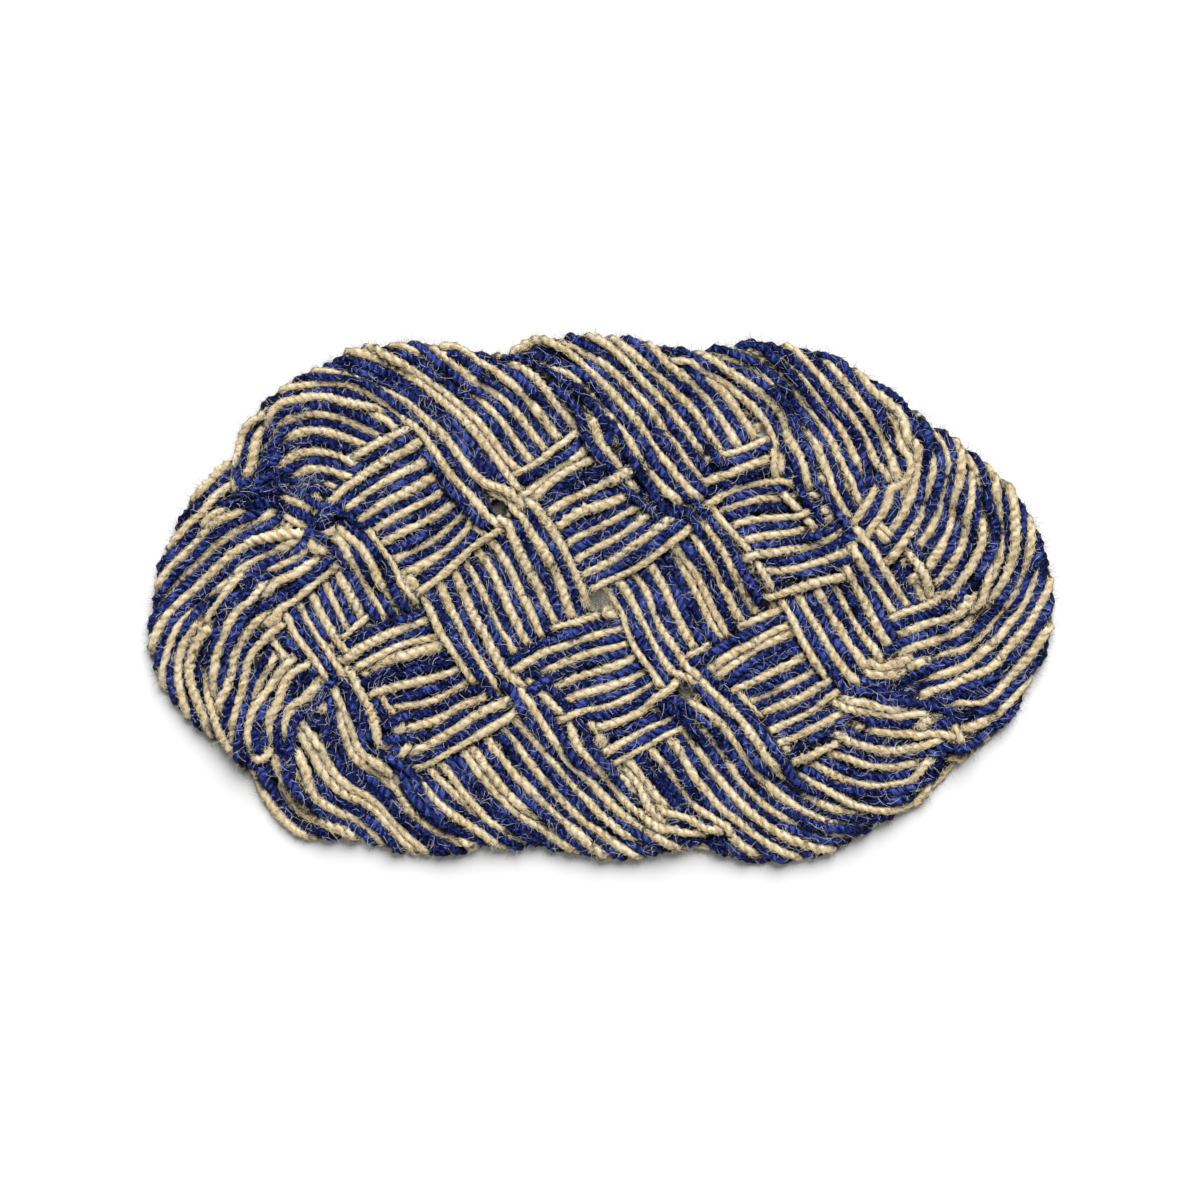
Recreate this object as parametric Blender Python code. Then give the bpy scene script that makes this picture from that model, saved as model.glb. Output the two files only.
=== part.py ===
"""Coir doormat: one flat lead of coir yarns, plaited into a closed oval panel, five strips by three.

The mat lies flat on Z = 0 with its long way on X.
The lead runs round the panel as one closed loop. It passes over and under itself in turn at 22 crossings
and turns back along the rim in eight wide bights and four narrow corner loops.
Yarns, their twist and their loose fibres belong to the looks; this solid has the strips, steps and rim.
"""

import math
from collections import namedtuple

import bpy
import numpy as np
from mathutils import Vector
from mathutils.geometry import delaunay_2d_cdt

MM = 0.001

# The lead, in millimetres
YARN_RADIUS = 3.15
OVER_HALF = 53.0
UNDER_HALF = 43.0
SAMPLE_STEP = 3.0
TANGENT_SHARE = 0.9

# Heights of the lead's upper face above the floor, in millimetres
OVER_TOP = 14.0
SHOULDER_TOP = 12.8
SHOULDER_SHARE = 0.45
PASS_END_TOP = 5.8
RUN_OUT_REACH = 20.0
RUN_OUT_TOP = 12.0
TURN_TOP = 9.8
UNDER_TOP = 5.6
DENT_TOP = 5.0
CROWN_WIDTH = 9.0
CROWN_DEPTH = 2.6

# Rim and gaps, in millimetres
RIM_SPACING = 8.0
RIM_WAIST_Z = 3.4
RIM_TOP_LEAST = 7.2
RIM_TOP_INSET = 3.0
RIM_FOOT_INSET = 2.2
GAP_SIDES = 9
GAP_TOP_FLARE = 2.0
GAP_FOOT_FLARE = 1.4

# Spacing of the faceted surface, in millimetres
EDGE_SPACING = 7.2
STEP_INSET = 1.0
STEP_FOOT = 1.2
LEAST_STEP = 1.0
FACE_SPACING = 9.2
UNDERSIDE_SPACING = 36.0

Crossing = namedtuple("Crossing", "x y heading left_reach right_reach")
Bend = namedtuple("Bend", "x y half_width")
Gap = namedtuple("Gap", "x y half_length half_width angle")
Station = namedtuple("Station", "x y direction half_width top")

# (column, row): place, heading of the pass on top, and how far it stays straight to its left and right
CROSSINGS = {
    (2, 1): Crossing(-227, 105, -14, 0, 34),
    (4, 1): Crossing(-85, 129, -60, 0, 44),
    (6, 1): Crossing(50, 130, -60, 0, 46),
    (8, 1): Crossing(196, 114, -74, 4, 46),
    (1, 2): Crossing(-269, 44, 18, 6, 34),
    (3, 2): Crossing(-149, 68, 24, 46, 46),
    (5, 2): Crossing(-1, 71, 23, 46, 46),
    (7, 2): Crossing(139, 65, 4, 46, 46),
    (9, 2): Crossing(253, 46, 44, 26, 0),
    (2, 3): Crossing(-201, -5, -66, 44, 46),
    (4, 3): Crossing(-70, -2, -70, 46, 46),
    (6, 3): Crossing(68, 2, -67, 46, 46),
    (8, 3): Crossing(205, -4, -65, 46, 44),
    (1, 4): Crossing(-254, -45, 44, 0, 26),
    (3, 4): Crossing(-141, -64, 13, 46, 46),
    (5, 4): Crossing(-2, -69, 13, 46, 46),
    (7, 4): Crossing(137, -69, 21, 46, 46),
    (9, 4): Crossing(266, -57, 6, 36, 10),
    (2, 5): Crossing(-205, -121, -74, 46, 12),
    (4, 5): Crossing(-51, -130, -60, 46, 0),
    (6, 5): Crossing(86, -130, -60, 44, 0),
    (8, 5): Crossing(219, -104, -22, 34, 0),
}

# Where the lower pass runs off the crossing's own place: x, y, half width
UNDER_PLACES = {(9, 2): (267, 64, 53), (1, 4): (-273, -62, 54)}

# Turns along the rim: three places in order of travel, and how far the yarns spread to each side
TURNS = {
    "top left corner": (Bend(-275, 68, 26), Bend(-270, 79, 23), Bend(-255, 94, 25)),
    "top left bight": (Bend(-119, 155, 40), Bend(-162, 161, 34), Bend(-202, 152, 34)),
    "top bight": (Bend(-55, 155, 34), Bend(-18, 167, 34), Bend(21, 157, 41)),
    "top right bight": (Bend(177, 147, 34), Bend(143, 161, 34), Bend(104, 160, 34)),
    "top right corner": (Bend(226, 115, 26), Bend(256, 106, 24), Bend(266, 83, 26)),
    "right bight": (Bend(308, -32, 36), Bend(313, 5, 34), Bend(300, 40, 34)),
    "bottom right corner": (Bend(286, -72, 25), Bend(283, -87, 23), Bend(262, -100, 25)),
    "bottom right bight": (Bend(114, -164, 42), Bend(158, -172, 34), Bend(199, -155, 32)),
    "bottom bight": (Bend(54, -161, 36), Bend(18, -170, 34), Bend(-20, -160, 42)),
    "bottom left bight": (Bend(-184, -157, 33), Bend(-146, -169, 34), Bend(-107, -164, 34)),
    "bottom left corner": (Bend(-236, -122, 25), Bend(-261, -108, 23), Bend(-270, -81, 26)),
    "left bight": (Bend(-292, 28, 34), Bend(-307, -8, 34), Bend(-304, -46, 36)),
}

# One closed loop. The crossings are over and under in turn; the first one is over.
ROUTE = [
    "top left corner", (2, 1), (3, 2), (4, 3), (5, 4), (6, 5),
    "bottom right bight", (8, 5), (9, 4),
    "right bight", (9, 2), (8, 1),
    "top right bight", (6, 1), (5, 2), (4, 3), (3, 4), (2, 5),
    "bottom left corner", (1, 4), (2, 3), (3, 2), (4, 1),
    "top bight", (6, 1), (7, 2), (8, 3), (9, 4),
    "bottom right corner", (8, 5), (7, 4), (6, 3), (5, 2), (4, 1),
    "top left bight", (2, 1), (1, 2),
    "left bight", (1, 4), (2, 5),
    "bottom left bight", (4, 5), (5, 4), (6, 3), (7, 2), (8, 1),
    "top right corner", (9, 2), (8, 3), (7, 4), (6, 5),
    "bottom bight", (4, 5), (3, 4), (2, 3), (1, 2),
]

# Small openings right through the plait, where four strips meet and leave a corner bare
GAPS = [
    Gap(-76, 71, 8.5, 6.0, 25),
    Gap(5, 4, 7.0, 6.0, 20),
    Gap(65, -68, 6.5, 6.5, 0),
    Gap(-71, -71, 4.6, 4.0, 0),
]


def turn_or_crossing_places():
    """Place, kind and table key or bend of every stop of the route; a turn has three."""
    places = []
    over = True
    for stop in ROUTE:
        if isinstance(stop, str):
            places += [(bend[:2], "turn", bend) for bend in TURNS[stop]]
            continue
        crossing = CROSSINGS[stop]
        kind = "over" if over else "under"
        places.append(((crossing.x, crossing.y), kind, stop))
        over = not over
    return places


def half_pass(reach):
    """Distance and height of the stations from a pass's middle to one end.

    Short ends run out to a turn, long ones dip.
    """
    if reach < RUN_OUT_REACH:
        return [(reach, RUN_OUT_TOP)] if reach else []
    return [(reach * SHOULDER_SHARE, SHOULDER_TOP), (reach, PASS_END_TOP)]


def over_stations(crossing, travel):
    """The straight stretch of a pass on top: it rises at its entry, lies level, and dips at its exit."""
    angle = math.radians(crossing.heading)
    direction = np.array([math.cos(angle), math.sin(angle)])
    before, after = crossing.left_reach, crossing.right_reach
    if direction @ travel < 0:
        direction, before, after = -direction, after, before
    middle = np.array([crossing.x, crossing.y])
    stops = [(-along, top) for along, top in reversed(half_pass(before))]
    stops += [(0, OVER_TOP)] + half_pass(after)
    return [Station(*(middle + direction * along), direction, OVER_HALF, top) for along, top in stops]


def stations():
    """All the stations of the lead in order of travel."""
    places = turn_or_crossing_places()
    rows = []
    for index, (place, kind, name) in enumerate(places):
        ahead = np.array(places[(index + 1) % len(places)][0])
        behind = np.array(places[index - 1][0])
        if kind == "over":
            rows += over_stations(CROSSINGS[name], ahead - behind)
        elif kind == "under":
            x, y, half_width = UNDER_PLACES.get(name, (*place, UNDER_HALF))
            rows.append(Station(x, y, None, half_width, UNDER_TOP))
        else:
            rows.append(Station(name.x, name.y, None, name.half_width, TURN_TOP))
    return rows


def tangents(rows):
    """Direction of travel at each station; free ones lean towards the nearer neighbour."""
    place = np.array([(row.x, row.y) for row in rows], dtype=float)
    before = place - np.roll(place, 1, 0)
    after = np.roll(place, -1, 0) - place
    before_length = np.linalg.norm(before, axis=1)[:, None]
    after_length = np.linalg.norm(after, axis=1)[:, None]
    tangent = before / before_length * after_length + after / after_length * before_length
    tangent /= np.linalg.norm(tangent, axis=1)[:, None]
    for index, row in enumerate(rows):
        if row.direction is not None:
            tangent[index] = row.direction
    return place, tangent


def trace_lead():
    """Samples along the closed lead: centre, direction, half width of its yarns' centres, top height."""
    rows = stations()
    place, tangent = tangents(rows)
    centre, half_width, top = [], [], []
    for index, row in enumerate(rows):
        following = (index + 1) % len(rows)
        chord = np.linalg.norm(place[following] - place[index])
        count = max(4, round(chord / SAMPLE_STEP))
        u = (np.arange(count) / count)[:, None]
        reach = chord * TANGENT_SHARE
        centre.append(
            (2 * u**3 - 3 * u**2 + 1) * place[index] + (u**3 - 2 * u**2 + u) * reach * tangent[index]
            + (3 * u**2 - 2 * u**3) * place[following] + (u**3 - u**2) * reach * tangent[following]
        )
        ease = (u * u * (3 - 2 * u))[:, 0]
        half_width.append(row.half_width * (1 - ease) + rows[following].half_width * ease)
        top.append(row.top * (1 - ease) + rows[following].top * ease)
    centre = np.concatenate(centre)
    direction = np.roll(centre, -1, 0) - np.roll(centre, 1, 0)
    direction /= np.linalg.norm(direction, axis=1)[:, None]
    return centre, direction, np.concatenate(half_width), np.concatenate(top)


class Lead:
    """The traced lead and the upper face that it makes."""

    def __init__(self):
        self.centre, self.direction, half_width, self.top = trace_lead()
        self.half_width = half_width + YARN_RADIUS
        self.left = np.stack([-self.direction[:, 1], self.direction[:, 0]], axis=1)
        gap = np.linalg.norm(np.roll(self.centre, -1, 0) - self.centre, axis=1)
        self.length = float(gap.sum())
        self.reach = 0.75 * float(gap.max())

    def edge(self, side, out=0.0):
        """Points along one side of the lead, moved out past its edge by a distance."""
        return self.centre + side * (self.half_width + out)[:, None] * self.left

    def upper_face(self, points):
        """Height of the upper face at each point: the highest strip there, or the floor of a dent."""
        height = np.full(len(points), DENT_TOP)
        for start in range(0, len(points), 400):
            some = points[start:start + 400]
            offset = some[:, None, :] - self.centre[None]
            along = np.abs((offset * self.direction[None]).sum(2))
            across = np.abs((offset * self.left[None]).sum(2))
            covered = (along < self.reach) & (across <= self.half_width[None])
            into_edge = np.clip((across - self.half_width[None] + CROWN_WIDTH) / CROWN_WIDTH, 0, 1)
            fall = CROWN_DEPTH * (1 - np.sqrt(1 - into_edge**2))
            face = np.where(covered, self.top[None] - fall, DENT_TOP)
            height[start:start + 400] = face.max(axis=1)
        return height


def even_loop(points, spacing):
    """The closed line through the points, cut into even steps of about the spacing."""
    closed = np.vstack([points, points[:1]])
    lengths = np.linalg.norm(np.diff(closed, axis=0), axis=1)
    travelled = np.concatenate([[0], np.cumsum(lengths)])
    count = round(travelled[-1] / spacing)
    stops = np.arange(count) * travelled[-1] / count
    return np.column_stack([np.interp(stops, travelled, closed[:, axis]) for axis in (0, 1)])


def scalloped_outline(lead, rays=480):
    """The farthest edge of the lead along every ray from the middle, as an even anticlockwise loop."""
    start = np.vstack([lead.edge(1), lead.edge(-1)])
    end = np.vstack([np.roll(lead.edge(side), -1, 0) for side in (1, -1)])
    angle = np.arange(rays) * 2 * math.pi / rays
    ray = np.stack([np.cos(angle), np.sin(angle)], axis=1)
    start_side = np.outer(ray[:, 0], start[:, 1]) - np.outer(ray[:, 1], start[:, 0])
    end_side = np.outer(ray[:, 0], end[:, 1]) - np.outer(ray[:, 1], end[:, 0])
    crossed = start_side * end_side < 0
    share = start_side / np.where(crossed, start_side - end_side, 1.0)
    distance = (1 - share) * (ray @ start.T) + share * (ray @ end.T)
    farthest = np.where(crossed, distance, 0).max(axis=1)
    return even_loop(ray * farthest[:, None], RIM_SPACING)


def inset(loop, distance):
    """An anticlockwise loop moved in by a distance."""
    along = np.roll(loop, -1, 0) - np.roll(loop, 1, 0)
    along /= np.linalg.norm(along, axis=1)[:, None]
    return loop + distance * np.stack([-along[:, 1], along[:, 0]], axis=1)


def gap_loop(gap, flare=0.0):
    """The anticlockwise outline of a gap."""
    turn = math.radians(gap.angle)
    angle = np.arange(GAP_SIDES) * 2 * math.pi / GAP_SIDES
    long_way = (gap.half_length + flare) * np.cos(angle)
    short_way = (gap.half_width + flare) * np.sin(angle)
    return np.column_stack([
        gap.x + long_way * math.cos(turn) - short_way * math.sin(turn),
        gap.y + long_way * math.sin(turn) + short_way * math.cos(turn),
    ])


def inside_loop(points, loop):
    """Whether each point lies inside the loop."""
    x, y = points[:, 0][:, None], points[:, 1][:, None]
    ahead = np.roll(loop, -1, 0)
    straddles = (loop[None, :, 1] > y) != (ahead[None, :, 1] > y)
    rise = np.where(ahead[:, 1] == loop[:, 1], 1.0, ahead[:, 1] - loop[:, 1])
    hits = x < (ahead[:, 0] - loop[:, 0])[None] * (y - loop[None, :, 1]) / rise[None] + loop[None, :, 0]
    return (straddles & hits).sum(1) % 2 == 1


class Scatter:
    """Points kept apart from one another, found through a grid of cells."""

    CELL = 12.0

    def __init__(self):
        self.points, self.kinds, self.cells = [], [], {}

    def _cell(self, point):
        return int(point[0] // self.CELL), int(point[1] // self.CELL)

    def clear(self, point, distances):
        """Whether the point is farther than each kind's distance from the kept points of that kind."""
        column, row = self._cell(point)
        for i in (-1, 0, 1):
            for j in (-1, 0, 1):
                for index in self.cells.get((column + i, row + j), ()):
                    apart = math.dist(point, self.points[index])
                    if apart < distances[self.kinds[index]]:
                        return False
        return True

    def keep(self, point, kind):
        self.cells.setdefault(self._cell(point), []).append(len(self.points))
        self.points.append((float(point[0]), float(point[1])))
        self.kinds.append(kind)
        return len(self.points) - 1

    def keep_clear_ones(self, points, kind, distances):
        """Keeps the clear points in their order and returns their indices."""
        return [self.keep(point, kind) for point in points if self.clear(point, distances)]


def step_lines(lead):
    """The brink and foot of every visible step along the lead's edges: (points, which ones show)."""
    lines = []
    for side in (1, -1):
        brink = lead.edge(side, -STEP_INSET)
        foot = lead.edge(side, STEP_FOOT)
        shows = lead.upper_face(brink) - lead.upper_face(foot) > LEAST_STEP
        lines += [("brink", brink, shows), ("foot", foot, shows)]
    return sorted(lines, key=lambda line: line[0])


def staggered_grid(half_length, half_width, spacing):
    """Points of an even triangular grid over a rectangle."""
    rows = []
    height = spacing * math.sqrt(0.75)
    for index, y in enumerate(np.arange(-half_width, half_width, height)):
        start = -half_length + (index % 2) * spacing / 2
        rows += [(x, y) for x in np.arange(start, half_length, spacing)]
    return np.array(rows)


def face_points(lead, rim, gaps):
    """Points of the upper face, and the lines that join them along steps.

    Rings come first, then steps, then an even fill.
    """
    scatter = Scatter()
    for loop in [rim] + gaps:
        for point in loop:
            scatter.keep(point, "ring")
    within = inset(rim, 2.0)

    def allowed(points):
        clear = inside_loop(points, within)
        for gap in gaps:
            clear &= ~inside_loop(points, gap)
        return clear

    apart = {
        "brink": {"ring": 4.5, "brink": EDGE_SPACING * 0.8},
        "foot": {"ring": 4.5, "brink": 2.0, "foot": EDGE_SPACING * 0.8},
        "fill": {"ring": 6.0, "brink": 6.0, "foot": 6.0, "fill": FACE_SPACING * 0.8},
    }
    joins = []
    for kind, line, shows in step_lines(lead):
        kept = scatter.keep_clear_ones(line[shows & allowed(line)], kind, apart[kind])
        for first, second in zip(kept, kept[1:]):
            if math.dist(scatter.points[first], scatter.points[second]) < EDGE_SPACING * 1.6:
                joins.append((first, second))
    grid = staggered_grid(360, 220, FACE_SPACING)
    scatter.keep_clear_ones(grid[allowed(grid)], "fill", apart["fill"])
    return np.array(scatter.points), joins


def triangulate(points, runs, joins, rim, gaps):
    """Anticlockwise triangles inside the rim and outside the gaps, along the rings' runs and the joins.

    Joins may cross, which adds points, so the points come back too, with the rings' runs in their new order.
    """
    edges = [(run[i], run[(i + 1) % len(run)]) for run in runs for i in range(len(run))] + joins
    flat = [Vector(point) for point in points]
    made, _, faces, sources, _, _ = delaunay_2d_cdt(flat, edges, [], 0, 1e-6)
    made = np.array([tuple(point) for point in made])
    place_of = {source: place for place, origin in enumerate(sources) for source in origin}
    triangles = np.array(faces)
    middle = made[triangles].mean(axis=1)
    kept = inside_loop(middle, rim)
    for gap in gaps:
        kept &= ~inside_loop(middle, gap)
    triangles = triangles[kept]
    a, b, c = (made[triangles[:, corner]] for corner in range(3))
    turned = (b[:, 0] - a[:, 0]) * (c[:, 1] - a[:, 1]) - (b[:, 1] - a[:, 1]) * (c[:, 0] - a[:, 0]) < 0
    triangles[turned] = triangles[turned][:, ::-1]
    return made, triangles, [[place_of[index] for index in run] for run in runs]


def band_between(lower, upper):
    """Triangles between two rings of the same length, facing away from an anticlockwise ring's middle."""
    faces = []
    for i in range(len(lower)):
        j = (i + 1) % len(lower)
        faces += [(lower[i], lower[j], upper[j]), (lower[i], upper[j], upper[i])]
    return faces


def index_loops(loops):
    """Runs of indices for loops whose points stand first in a list, one loop after the other."""
    runs, start = [], 0
    for loop in loops:
        runs.append(list(range(start, start + len(loop))))
        start += len(loop)
    return runs


def mat_mesh(lead):
    """Vertices in millimetres and outward triangles of the closed body."""
    outline = scalloped_outline(lead)
    top_rings = [inset(outline, RIM_TOP_INSET)] + [gap_loop(gap, GAP_TOP_FLARE) for gap in GAPS]
    waist_rings = [outline] + [gap_loop(gap) for gap in GAPS]
    foot_rings = [inset(outline, RIM_FOOT_INSET)] + [gap_loop(gap, GAP_FOOT_FLARE) for gap in GAPS]

    top, joins = face_points(lead, top_rings[0], top_rings[1:])
    top, top_faces, top_runs = triangulate(top, index_loops(top_rings), joins, top_rings[0], top_rings[1:])
    top_height = lead.upper_face(top)
    top_height[top_runs[0]] = np.maximum(top_height[top_runs[0]], RIM_TOP_LEAST)

    grid = staggered_grid(350, 205, UNDERSIDE_SPACING)
    scatter = Scatter()
    for loop in foot_rings:
        for point in loop:
            scatter.keep(point, "ring")
    roomy = grid[inside_loop(grid, inset(outline, UNDERSIDE_SPACING * 0.4))]
    scatter.keep_clear_ones(roomy, "fill", {"ring": 9.0, "fill": 9.0})
    under, under_faces, under_runs = triangulate(
        np.array(scatter.points), index_loops(foot_rings), [], foot_rings[0], foot_rings[1:]
    )

    waist = np.vstack(waist_rings)
    waist_start, under_start = len(top), len(top) + len(waist)
    vertices = np.vstack([
        np.column_stack([top, top_height]),
        np.column_stack([waist, np.full(len(waist), RIM_WAIST_Z)]),
        np.column_stack([under, np.zeros(len(under))]),
    ])
    faces = [tuple(face) for face in top_faces]
    faces += [tuple(face[::-1] + under_start) for face in under_faces]
    runs = zip(top_runs, index_loops(waist_rings), under_runs)
    for number, (top_run, waist_run, under_run) in enumerate(runs):
        waist_run = [index + waist_start for index in waist_run]
        under_run = [index + under_start for index in under_run]
        sides = band_between(under_run, waist_run) + band_between(waist_run, top_run)
        faces += sides if number == 0 else [face[::-1] for face in sides]
    return vertices, faces


def coir_material():
    material = bpy.data.materials.new("coir")
    material.use_nodes = True
    shader = material.node_tree.nodes["Principled BSDF"]
    shader.inputs["Base Color"].default_value = (0.60, 0.49, 0.33, 1.0)
    shader.inputs["Roughness"].default_value = 0.9
    shader.inputs["Metallic"].default_value = 0.0
    return material


def build():
    for item in list(bpy.data.objects):
        bpy.data.objects.remove(item)
    lead = Lead()
    vertices, faces = mat_mesh(lead)
    low, high = vertices.min(axis=0), vertices.max(axis=0)
    vertices[:, :2] -= (low[:2] + high[:2]) / 2
    mesh = bpy.data.meshes.new("plaited_mat")
    mesh.from_pydata((vertices * MM).tolist(), [], [tuple(int(i) for i in face) for face in faces])
    mesh.shade_smooth()
    mesh.set_sharp_from_angle(angle=math.radians(24))
    mesh.materials.append(coir_material())
    mesh.update()
    mat = bpy.data.objects.new("plaited_mat", mesh)
    bpy.context.scene.collection.objects.link(mat)
    size = (high - low).round(1)
    print(f"lead {lead.length / 1000:.2f} m, mat {size[0]} x {size[1]} x {size[2]} mm")
    print(f"{len(faces)} triangles")


build()
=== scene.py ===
# %% [markdown]
# # A plaited coir doormat
# The mat is one flat lead of seventeen coir yarns laid side by side, some left in the straw colour of the
# husk and some dyed navy. It runs round the oval as one closed loop, over one strip and under the next. The
# solid gives the size and the strips; here every yarn gets its own path, its twist and its loose fibres.

import math
from collections import namedtuple

import bpy
import numpy as np
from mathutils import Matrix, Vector
from mathutils.kdtree import KDTree


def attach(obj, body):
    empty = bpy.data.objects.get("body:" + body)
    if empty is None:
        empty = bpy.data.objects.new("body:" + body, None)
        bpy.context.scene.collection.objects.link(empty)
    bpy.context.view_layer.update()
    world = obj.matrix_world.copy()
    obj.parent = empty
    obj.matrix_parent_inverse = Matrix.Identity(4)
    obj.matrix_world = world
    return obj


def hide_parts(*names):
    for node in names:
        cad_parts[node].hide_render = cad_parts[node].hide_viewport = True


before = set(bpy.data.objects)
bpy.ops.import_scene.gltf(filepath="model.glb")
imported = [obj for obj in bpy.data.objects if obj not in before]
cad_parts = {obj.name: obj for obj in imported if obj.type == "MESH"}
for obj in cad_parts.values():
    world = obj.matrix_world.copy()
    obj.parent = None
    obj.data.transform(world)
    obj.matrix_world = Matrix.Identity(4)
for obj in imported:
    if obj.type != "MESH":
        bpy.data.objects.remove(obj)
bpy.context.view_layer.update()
MM = 0.001

# %% [markdown]
# ## The route of the lead
# A plaited mat is planned on a board, with a peg at every crossing and a turn along the rim between two of
# them. Each crossing has a place, a heading for the strip that lies on top, and how far that strip stays
# straight to its left and its right, in millimetres from the middle crossing.

# %% Crossings, turns and the order they are visited in
Crossing = namedtuple("Crossing", "x y heading left_reach right_reach")
Gap = namedtuple("Gap", "x y radius")
Station = namedtuple("Station", "x y direction half_width height pass_number")

CROSSINGS = {
    (2, 1): (-227, 105, -14, 0, 34),
    (4, 1): (-85, 129, -60, 0, 44),
    (6, 1): (50, 130, -60, 0, 46),
    (8, 1): (196, 114, -74, 4, 46),
    (1, 2): (-269, 44, 18, 6, 34),
    (3, 2): (-149, 68, 24, 46, 46),
    (5, 2): (-1, 71, 23, 46, 46),
    (7, 2): (139, 65, 4, 46, 46),
    (9, 2): (253, 46, 44, 26, 0),
    (2, 3): (-201, -5, -66, 44, 46),
    (4, 3): (-70, -2, -70, 46, 46),
    (6, 3): (68, 2, -67, 46, 46),
    (8, 3): (205, -4, -65, 46, 44),
    (1, 4): (-254, -45, 44, 0, 26),
    (3, 4): (-141, -64, 13, 46, 46),
    (5, 4): (-2, -69, 13, 46, 46),
    (7, 4): (137, -69, 21, 46, 46),
    (9, 4): (266, -57, 6, 36, 10),
    (2, 5): (-205, -121, -74, 46, 12),
    (4, 5): (-51, -130, -60, 46, 0),
    (6, 5): (86, -130, -60, 44, 0),
    (8, 5): (219, -104, -22, 34, 0),
}
CROSSINGS = {place: Crossing(*numbers) for place, numbers in CROSSINGS.items()}
UNDER_PLACES = {(9, 2): (267, 64, 53), (1, 4): (-273, -62, 54)}
# Three places on each turn, with the half width of the lead there.
TURNS = {
    "top left corner": ((-266, 66, 24), (-259, 77, 22), (-246, 93, 23)),
    "top left bight": ((-119, 157, 40), (-162, 163, 34), (-202, 152, 33)),
    "top bight": ((-55, 159, 34), (-18, 172, 34), (21, 161, 41)),
    "top right bight": ((179, 150, 34), (143, 166, 34), (104, 164, 34)),
    "top right corner": ((226, 115, 26), (258, 106, 24), (268, 84, 26)),
    "right bight": ((308, -32, 36), (315, 6, 34), (304, 43, 35)),
    "bottom right corner": ((283, -70, 25), (279, -84, 23), (258, -97, 24)),
    "bottom right bight": ((112, -160, 40), (155, -167, 33), (194, -151, 31)),
    "bottom bight": ((54, -159, 36), (18, -166, 34), (-20, -156, 41)),
    "bottom left bight": ((-174, -152, 30), (-143, -165, 33), (-107, -161, 34)),
    "bottom left corner": ((-234, -116, 24), (-261, -108, 23), (-272, -81, 26)),
    "left bight": ((-295, 28, 35), (-311, -10, 34), (-307, -47, 36)),
}
ROUTE = [
    "top left corner", (2, 1), (3, 2), (4, 3), (5, 4), (6, 5),
    "bottom right bight", (8, 5), (9, 4),
    "right bight", (9, 2), (8, 1),
    "top right bight", (6, 1), (5, 2), (4, 3), (3, 4), (2, 5),
    "bottom left corner", (1, 4), (2, 3), (3, 2), (4, 1),
    "top bight", (6, 1), (7, 2), (8, 3), (9, 4),
    "bottom right corner", (8, 5), (7, 4), (6, 3), (5, 2), (4, 1),
    "top left bight", (2, 1), (1, 2),
    "left bight", (1, 4), (2, 5),
    "bottom left bight", (4, 5), (5, 4), (6, 3), (7, 2), (8, 1),
    "top right corner", (9, 2), (8, 3), (7, 4), (6, 5),
    "bottom bight", (4, 5), (3, 4), (2, 3), (1, 2),
]
# Where four strips meet, some gaps stay open to the floor. A radius below zero makes the strips overlap.
GAPS = [
    Gap(-76, 70, 8.5), Gap(-1, -1, 6.5), Gap(67, -69, 8.0), Gap(-73, -71, 5.0),
    Gap(-139, 2, -2.0), Gap(134, 5, -2.0), Gap(67, 74, -1.0), Gap(-130, -130, -2.0),
    Gap(-216, 48, -1.0), Gap(197, 48, -1.0), Gap(-212, -50, -1.0), Gap(207, -57, -1.0),
]
OPEN_GAPS = [gap for gap in GAPS if gap.radius > 0]
# The solid is centred on its box, which lies this far from the middle crossing.
PLAIT_CENTRE = np.array([2.2, -3.7])
print(len(CROSSINGS), "crossings,", len(TURNS), "turns and", len(OPEN_GAPS), "open gaps")

# %% [markdown]
# ## Stations
# The tables become one list of stations. Over a crossing the lead is straight and wide, under it the yarns
# are packed closer, and on a turn it is half as wide. From one station to the next its height and width
# change smoothly.

# %% Where the lead goes, how wide it is there, and how high
YARN_RADIUS = 3.4
# Half widths of the lead and heights of its yarns at each kind of station, in millimetres.
OVER_HALF, OVER_HEIGHT = 58.0, 14.0
SHOULDER_HALF, SHOULDER_HEIGHT = 57.0, 13.0
PASS_END_HALF, PASS_END_HEIGHT = 55.0, 8.0
UNDER_HALF, UNDER_HEIGHT = 48.0, 3.2
TURN_HEIGHT = 10.0
# Where on the way out a shoulder lies. A reach shorter than the run-out leads into a turn.
SHOULDER_SHARE = 0.45
RUN_OUT_REACH = 20.0


def eased(u):
    """A smooth step from 0 to 1 as u goes from 0 to 1."""
    return u * u * (3 - 2 * u)


def half_pass(reach):
    """Distance, half width and height of the stations on one side of a pass."""
    if reach < RUN_OUT_REACH:
        return [(reach, SHOULDER_HALF, SHOULDER_HEIGHT)] if reach else []
    shoulder = (reach * SHOULDER_SHARE, SHOULDER_HALF, SHOULDER_HEIGHT)
    return [shoulder, (reach, PASS_END_HALF, PASS_END_HEIGHT)]


def over_stations(crossing, travel, number):
    """The straight stretch of a strip that lies on top of a crossing."""
    angle = math.radians(crossing.heading)
    direction = np.array([math.cos(angle), math.sin(angle)])
    before, after = crossing.left_reach, crossing.right_reach
    if direction @ travel < 0:
        direction, before, after = -direction, after, before
    middle = np.array([crossing.x, crossing.y])
    stops = [(-along, half_width, height) for along, half_width, height in reversed(half_pass(before))]
    stops += [(0, OVER_HALF, OVER_HEIGHT)] + half_pass(after)
    return [
        Station(*(middle + direction * along), direction, half_width, height, number)
        for along, half_width, height in stops
    ]


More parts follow.
